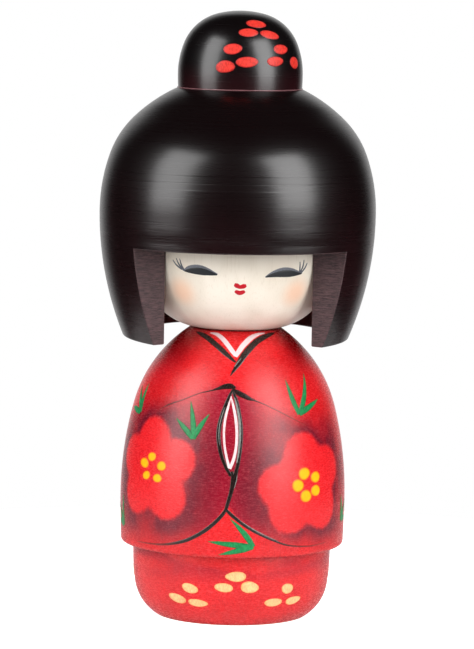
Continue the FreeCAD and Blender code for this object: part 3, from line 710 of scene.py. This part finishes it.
def turned_normal(tree, skin, low, high, count=24):
    """Roughly the way a turned surface faces, without the steps at the joins of its curves.

    Two known faults. The profile is sampled at even heights but looked up through ramp's smooth step,
    so between low and high this is the facing of a height some way off, by up to about 9 degrees. And
    the skin's rings include some that aren't on the outside, at the fringe and near 108 mm.
    Where the mesh faces more than about 20 degrees away, as cut faces do, it keeps its own normal."""
    _, x, y, z = coordinates(tree)
    heights = np.linspace(low, high, count)
    above, below = (np.interp(heights + side, skin.height, skin.radius) for side in (CHORD, -CHORD))
    rises = ((below - above) / np.hypot(below - above, 2 * CHORD)).tolist()
    curve = tree.nodes.new("ShaderNodeFloatCurve")
    line = curve.mapping.curves[0]
    for number, rise in enumerate(rises):
        where = (number / (count - 1), 0.5 + 0.5 * rise)
        if number in (0, count - 1):
            line.points[0 if number == 0 else -1].location = where
        else:
            line.points.new(*where)
    curve.mapping.update()
    tree.links.new(ramp(tree, z, low, high), curve.inputs["Value"])
    rise = math_node(tree, "MULTIPLY_ADD", curve.outputs["Value"], 2.0, -1.0)
    run = math_node(tree, "SQRT", math_node(tree, "SUBTRACT", 1.0, product(tree, rise, rise), clamp=True))
    across = math_node(tree, "DIVIDE", run, from_axis(tree, x, y))
    parts = tree.nodes.new("ShaderNodeCombineXYZ")
    for socket, value in zip(parts.inputs, (product(tree, x, across), product(tree, y, across), rise)):
        tree.links.new(value, socket)
    facing = parts.outputs["Vector"]
    own = tree.nodes.new("ShaderNodeTexCoord").outputs["Normal"]
    alike = product(tree, ramp(tree, vector_node(tree, "DOT_PRODUCT", own, facing), 0.93, 0.96),
                    ramp(tree, z, low, low + 1.5), ramp(tree, z, high, high - 1.5))
    mixed = tree.nodes.new("ShaderNodeMix")
    mixed.data_type = "VECTOR"
    tree.links.new(alike, mixed.inputs[0])
    tree.links.new(own, mixed.inputs[4])
    tree.links.new(facing, mixed.inputs[5])
    turn = tree.nodes.new("ShaderNodeVectorTransform")
    turn.vector_type, turn.convert_from, turn.convert_to = "NORMAL", "OBJECT", "WORLD"
    tree.links.new(mixed.outputs[1], turn.inputs[0])
    return turn.outputs[0]


def lacquer(tree, shader, place, z, colour, roughness, under=None):
    """Satin lacquer over lathe marks, strongest where the tool last touched."""
    rings = noise(tree, place, (0.035, 0.035, 2.6), detail=4, roughness=0.7)
    peel = noise(tree, place, (1.1, 1.1, 0.9), detail=2)
    broad = noise(tree, place, (0.03, 0.03, 0.5), detail=2)
    band = product(tree, ramp(tree, z, 90.0, 94.0), ramp(tree, z, 101.0, 97.0))
    depth = math_node(tree, "MULTIPLY", rings, math_node(tree, "MULTIPLY_ADD", band, 0.97, 0.03))
    tree.links.new(colour, shader.inputs["Base Color"])
    tree.links.new(math_node(tree, "MULTIPLY_ADD", rings, 0.08, roughness - 0.04), shader.inputs["Roughness"])
    lines = bump(tree, depth, 0.048, 1.0, under)
    return bump(tree, broad, 0.03, 0.3, bump(tree, peel, 0.012, 0.6, lines))


def hair_material(skin):
    """Near-black lacquer, browner towards the rim, with matt grain on the sawn faces."""
    material, tree, shader = new_material("hair_lacquer")
    place, x, y, z = coordinates(tree)
    cloudy = noise(tree, place, (0.08, 0.08, 0.05), detail=3)
    warm = math_node(tree, "MULTIPLY", ramp(tree, z, 118.0, 80.0), ramp(tree, cloudy, 0.3, 0.7, 0.4, 1.0))
    colour = blend_colours(tree, warm, HAIR_BLACK, HAIR_BROWN)
    bore = product(tree, ramp(tree, from_axis(tree, x, y), BORE + 0.3, BORE + 0.1), ramp(tree, z, 110.0, 109.0))
    colour = blend_colours(tree, bore, colour, BORE_RED)
    sawn = sawn_mask(tree, x, y, z)
    grain = noise(tree, place, (0.45, 0.45, 4.5), detail=4, roughness=0.65)
    fibre = noise(tree, place, (1.6, 1.6, 7.0), detail=2)
    matt = blend_colours(tree, ramp(tree, grain, 0.36, 0.66), SAWN_DARK, SAWN_LIGHT)
    matt = blend_colours(tree, ramp(tree, fibre, 0.45, 0.75, 0.0, 0.4), matt, SAWN_FIBRE)
    colour = blend_colours(tree, sawn, colour, matt)
    facing = turned_normal(tree, skin, FRINGE + CHORD, HAIR_TOP - CHORD)
    coat = lacquer(tree, shader, place, z, colour, HAIR_ROUGHNESS, facing)
    rough = shader.inputs["Roughness"].links[0].from_socket
    tree.links.new(math_node(tree, "MAXIMUM", rough, math_node(tree, "MULTIPLY", sawn, 0.62)),
                   shader.inputs["Roughness"])
    cut = math_node(tree, "MULTIPLY", grain, sawn)
    tree.links.new(bump(tree, cut, 0.12, 0.9, coat), shader.inputs["Normal"])
    shader.inputs["Specular IOR Level"].default_value = LACQUER_SPECULAR
    return material


def bun_material():
    """Near-black lacquer, browner just above the seam."""
    material, tree, shader = new_material("bun_lacquer")
    place, _, _, z = coordinates(tree)
    cloudy = noise(tree, place, (0.12, 0.12, 0.08), detail=3)
    warm = math_node(tree, "MULTIPLY", ramp(tree, z, 138.0, 131.5), ramp(tree, cloudy, 0.3, 0.7, 0.5, 1.0))
    colour = blend_colours(tree, warm, BUN_BLACK, BUN_BROWN)
    tree.links.new(lacquer(tree, shader, place, z, colour, BUN_ROUGHNESS), shader.inputs["Normal"])
    shader.inputs["Specular IOR Level"].default_value = LACQUER_SPECULAR
    return material


def paint_bun_petals(skin):
    """Red petals brushed over the front and back of the bun."""
    red = brush_paint("red_brush", (0.60, 0.030, 0.020), (0.30, 0.010, 0.010), (0.3, 0.01, 0.01), roughness=0.42,
                      rim_from=0.72, streaks=0.3, specular=0.3)
    petals = Brushwork(skin)
    front = ((21.5, 147.1, 2.6, 1.55, -4, 0.2), (8.4, 145.0, 2.45, 1.35, 2, 0.0),
             (34.0, 144.5, 2.7, 1.3, -10, 0.1), (-7.7, 141.0, 2.5, 1.35, 5, 0.15),
             (43.5, 141.0, 2.5, 1.25, 0, 0.2), (-14.0, 136.7, 2.6, 1.5, 4, 0.1),
             (6.2, 137.9, 2.9, 1.35, 0, 0.1), (34.6, 138.1, 2.5, 1.25, 6, 0.2),
             (60.5, 137.7, 2.1, 1.5, 0, 0.1))
    for turn in (0, 165):
        for angle, height, wide, tall, tilt, pointed in front:
            petals.dot(angle + turn, height, wide, tall, tilt, film=0.08, pointed=pointed)
    petals.finish("bun_red_petals", red, "head")


BEAD_RADIUS, BEAD_HEIGHT, BEAD_THICK = 15.36, 130.98, 0.17    # mm
BEAD_TURNS, BEAD_SIDES = 240, 10


def make_seam_bead():
    """The thin bead of lacquer in the seam under the bun: dark red, with pale pinkish patches that are a painted
    highlight along the seam.
    """
    material, tree, shader = new_material("seam_bead_painted_highlight")
    place, *_ = coordinates(tree)
    uneven = noise(tree, place, (0.5, 0.5, 2.0), detail=3)
    # The pale pinkish colour mixed in here is a painted highlight along the seam; the dark red is the bead's own
    # colour.
    tree.links.new(blend_colours(tree, uneven, (0.035, 0.008, 0.010), (0.26, 0.12, 0.13)),
                   shader.inputs["Base Color"])
    tree.links.new(math_node(tree, "MULTIPLY_ADD", uneven, 0.2, 0.12), shader.inputs["Roughness"])
    tree.links.new(bump(tree, uneven, 0.03, 0.5), shader.inputs["Normal"])
    points, faces = [], []
    for k in range(BEAD_TURNS):
        a = math.tau * k / BEAD_TURNS
        for j in range(BEAD_SIDES):
            b = math.tau * j / BEAD_SIDES
            reach = BEAD_RADIUS + BEAD_THICK * math.cos(b)
            points.append((reach * math.sin(a), -reach * math.cos(a), BEAD_HEIGHT + BEAD_THICK * math.sin(b)))
            here, after, up = k * BEAD_SIDES, ((k + 1) % BEAD_TURNS) * BEAD_SIDES, (j + 1) % BEAD_SIDES
            faces.append((here + j, after + j, after + up, here + up))
    mesh = bpy.data.meshes.new("bun_seam_bead")
    mesh.from_pydata((np.array(points) * MM).tolist(), [], faces)
    mesh.shade_smooth()
    mesh.materials.append(material)
    obj = new_object("bun_seam_bead", mesh)
    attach(obj, "head")


def bare_wood_material():
    """Plain beech for the dowels."""
    material, tree, shader = new_material("plain_wood")
    place, *_ = coordinates(tree)
    grain = noise(tree, place, (2.2, 2.2, 0.12), detail=3)
    colour = blend_colours(tree, ramp(tree, grain, 0.35, 0.7), BARE_WOOD, (0.46, 0.29, 0.15))
    tree.links.new(colour, shader.inputs["Base Color"])
    tree.links.new(math_node(tree, "MULTIPLY_ADD", grain, 0.2, 0.5), shader.inputs["Roughness"])
    tree.links.new(bump(tree, grain, 0.03, 0.5), shader.inputs["Normal"])
    return material


# ---------------------------------------------------------------- stage, light and camera

FLOOR_REACH, FLOOR_SIDES = 0.17, 96                 # m
AIM = Vector((0, 0, 0.09))                          # m: the middle of the doll
EYE = Vector((0.00033, -0.9253, 0.1697))            # m: the camera
EYE_DOWN, EYE_ROLL = math.radians(6.01), math.radians(1.07)
LENS, SENSOR = 207.8, 36.0                          # mm


def make_floor():
    """A small pale disc that also glows, for the camera only."""
    mesh = bpy.data.meshes.new("floor")
    turns = [k * math.tau / FLOOR_SIDES for k in range(FLOOR_SIDES)]
    mesh.from_pydata([(FLOOR_REACH * math.cos(a), FLOOR_REACH * math.sin(a), 0) for a in turns], [],
                     [tuple(range(FLOOR_SIDES))])
    floor = new_object("floor", mesh)
    material, tree, shader = new_material("white_floor")
    shader.inputs["Base Color"].default_value = (0.86, 0.86, 0.86, 1)
    shader.inputs["Roughness"].default_value = 0.9
    shader.inputs["Specular IOR Level"].default_value = 0.0
    shader.inputs["Emission Color"].default_value = (1, 1, 1, 1)
    seen = tree.nodes.new("ShaderNodeLightPath").outputs["Is Camera Ray"]
    tree.links.new(math_node(tree, "MULTIPLY", seen, 0.93), shader.inputs["Emission Strength"])
    mesh.materials.append(material)


def make_world():
    """White all round behind the doll, dark in front of it and overhead, so that its edges catch light."""
    world = bpy.data.worlds.new("studio")
    bpy.context.scene.world = world
    world.use_nodes = True
    tree = world.node_tree
    tree.nodes.clear()
    output = tree.nodes.new("ShaderNodeOutputWorld")
    background = tree.nodes.new("ShaderNodeBackground")
    background.inputs["Color"].default_value = (1, 1, 1, 1)
    tree.links.new(background.outputs[0], output.inputs["Surface"])
    direction = tree.nodes.new("ShaderNodeTexCoord").outputs["Generated"]
    parts = tree.nodes.new("ShaderNodeSeparateXYZ")
    tree.links.new(direction, parts.inputs[0])
    behind = ramp(tree, parts.outputs["Y"], 0.72, 0.97)
    low = ramp(tree, parts.outputs["Z"], 0.85, 0.35)
    amount = math_node(tree, "MULTIPLY_ADD", product(tree, behind, low), 0.85, 0.010)
    seen = tree.nodes.new("ShaderNodeLightPath").outputs["Is Camera Ray"]
    tree.links.new(math_node(tree, "MAXIMUM", amount, seen), background.inputs["Strength"])


def soft_box(name, azimuth, elevation, distance, wide, tall, radiance, glossy=True):
    """A soft rectangular light that faces the middle of the doll."""
    data = bpy.data.lights.new(name, "AREA")
    data.shape, data.size, data.size_y = "RECTANGLE", wide, tall
    data.energy = radiance * math.pi * wide * tall
    lamp = new_object(name, data)
    a, e = math.radians(azimuth), math.radians(elevation)
    back = Vector((math.sin(a) * math.cos(e), -math.cos(a) * math.cos(e), math.sin(e)))
    lamp.location = AIM + back * distance
    lamp.rotation_mode = "QUATERNION"
    lamp.rotation_quaternion = (-back).to_track_quat("-Z", "Y")
    lamp.visible_camera = False
    lamp.visible_glossy = glossy


def make_lights():
    soft_box("left_softbox", -60, 24, 0.75, 0.44, 0.82, 5.6)
    soft_box("right_softbox", 49, 24, 0.75, 0.44, 0.82, 7.0)
    soft_box("front_fill", -14, 18, 1.6, 1.0, 0.8, 3.0, glossy=False)
    soft_box("top_fill", 0, 88, 1.2, 1.2, 1.2, 0.5, glossy=False)


def make_camera():
    data = bpy.data.cameras.new("camera")
    data.lens, data.sensor_width = LENS, SENSOR
    data.clip_start, data.clip_end = 0.05, 100.0
    data.dof.use_dof = False
    camera = new_object("camera", data)
    level = math.radians(90)
    camera.matrix_world = (Matrix.Translation(EYE) @ Matrix.Rotation(level - EYE_DOWN, 4, "X")
                           @ Matrix.Rotation(EYE_ROLL, 4, "Z"))
    bpy.context.scene.camera = camera


def set_material(node, material):
    """A CAD node keeps its own shape and takes a material."""
    for slot in frame["nodes"][node].material_slots:
        slot.material = material


ROBE_SPAN, SKIRT_SPAN = (18.9, 71.8), (0.4, 17.9)    # mm: heights between which paint may lie
FACE_SPAN, BUN_SPAN = (72.2, 108.1), (131.3, 150.0)


def main():
    robe = TurnedSkin("body", *ROBE_SPAN)
    skirt = TurnedSkin("body", *SKIRT_SPAN)
    face = TurnedSkin("face", *FACE_SPAN)
    bun = TurnedSkin("bun", *BUN_SPAN)
    set_material("body", kimono_material(robe))
    set_material("face", face_material(face))
    set_material("hair_cap", hair_material(TurnedSkin("hair_cap", FRINGE, HAIR_TOP)))
    set_material("bun", bun_material())
    wood = bare_wood_material()
    set_material("neck_dowel", wood)
    set_material("crown_dowel", wood)
    make_seam_bead()
    paint_robe_lines(robe)
    paint_robe_white(robe)
    paint_sprigs(robe)
    paint_stamens(robe)
    paint_skirt_petals(skirt)
    paint_face(face)
    paint_bun_petals(bun)
    make_floor()
    make_world()
    make_lights()
    make_camera()
    bpy.context.scene.view_settings.view_transform = "Standard"


main()
